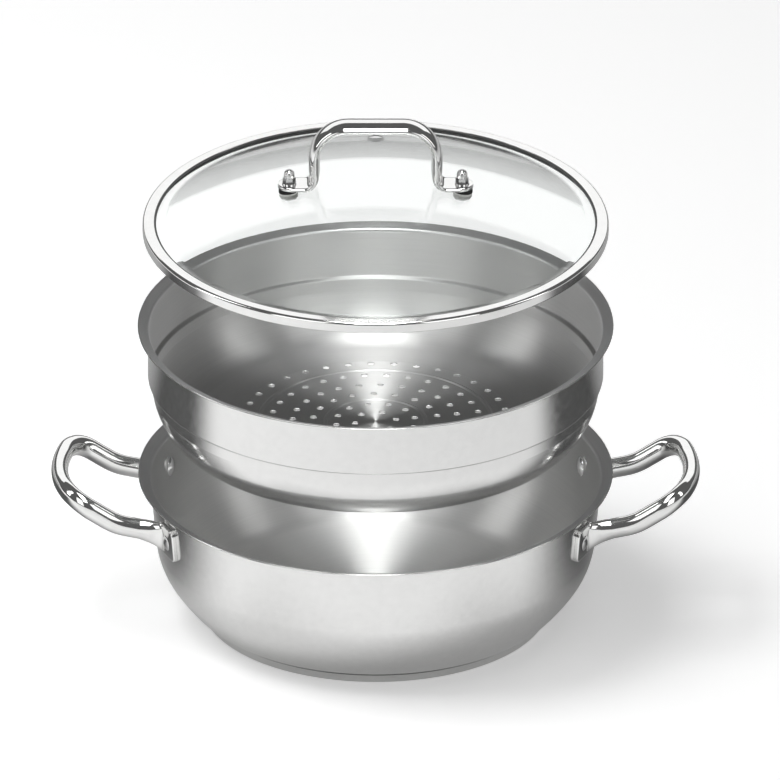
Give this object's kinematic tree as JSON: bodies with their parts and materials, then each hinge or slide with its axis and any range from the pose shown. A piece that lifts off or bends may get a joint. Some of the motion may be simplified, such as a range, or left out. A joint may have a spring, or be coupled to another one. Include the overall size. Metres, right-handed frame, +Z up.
{
  "type": "steamer pot",
  "caption": "Low stainless steel steamer pot with ear handles, a perforated steamer insert and a domed glass lid with a steam vent, stored lifted apart.",
  "frame": {"origin": "centre of the base's underside, on the surface that the pot stands on", "axes": "+Z up; +X to the right-hand ear handle; -Y towards the viewer, with the lid's vent at +Y"},
  "size_m": [0.4026, 0.2956, 0.3348],
  "materials": {
    "pot_steel": "polished outside, satin inside",
    "insert_steel": "polished outside, satin inside",
    "base_steel": "polished side, turned underside",
    "base_aluminium": "pressed in, hidden but for its edge",
    "handle_steel": "polished",
    "lid_rim_steel": "polished",
    "fastener_steel": "polished",
    "lid_glass": "clear tempered",
    "rim_silicone": "matt",
    "gasket_silicone": "matt",
    "clear_silicone": "milky, matt"
  },
  "bodies": {
    "pot": {"pot_shell": "pot_steel", "base_core": "base_aluminium", "base_cap": "base_steel", "pot_handle_left": "handle_steel", "pot_handle_right": "handle_steel", "rivet_front_left": "fastener_steel", "rivet_front_right": "fastener_steel", "rivet_back_left": "fastener_steel", "rivet_back_right": "fastener_steel"},
    "insert": {"steamer_insert": "insert_steel"},
    "lid": {"lid_glass": "lid_glass", "lid_rim": "lid_rim_steel", "lid_rim_seal": "rim_silicone", "vent_eyelet": "fastener_steel", "vent_washer": "fastener_steel", "lid_handle": "handle_steel", "cap_nut_left": "fastener_steel", "nut_washer_left": "fastener_steel", "upper_gasket_left": "gasket_silicone", "lower_gasket_left": "clear_silicone", "under_washer_left": "fastener_steel", "handle_screw_left": "fastener_steel", "cap_nut_right": "fastener_steel", "nut_washer_right": "fastener_steel", "upper_gasket_right": "gasket_silicone", "lower_gasket_right": "clear_silicone", "under_washer_right": "fastener_steel", "handle_screw_right": "fastener_steel"}
  },
  "joints": [
    {"name": "insert_lift", "type": "slide", "parent": "pot", "child": "insert", "axis": [0, 0, 1], "range_m": [-0.06785, 0]},
    {"name": "lid_lift", "type": "slide", "parent": "insert", "child": "lid", "axis": [0, 0, 1], "range_m": [-0.0649, 0]}
  ]
}
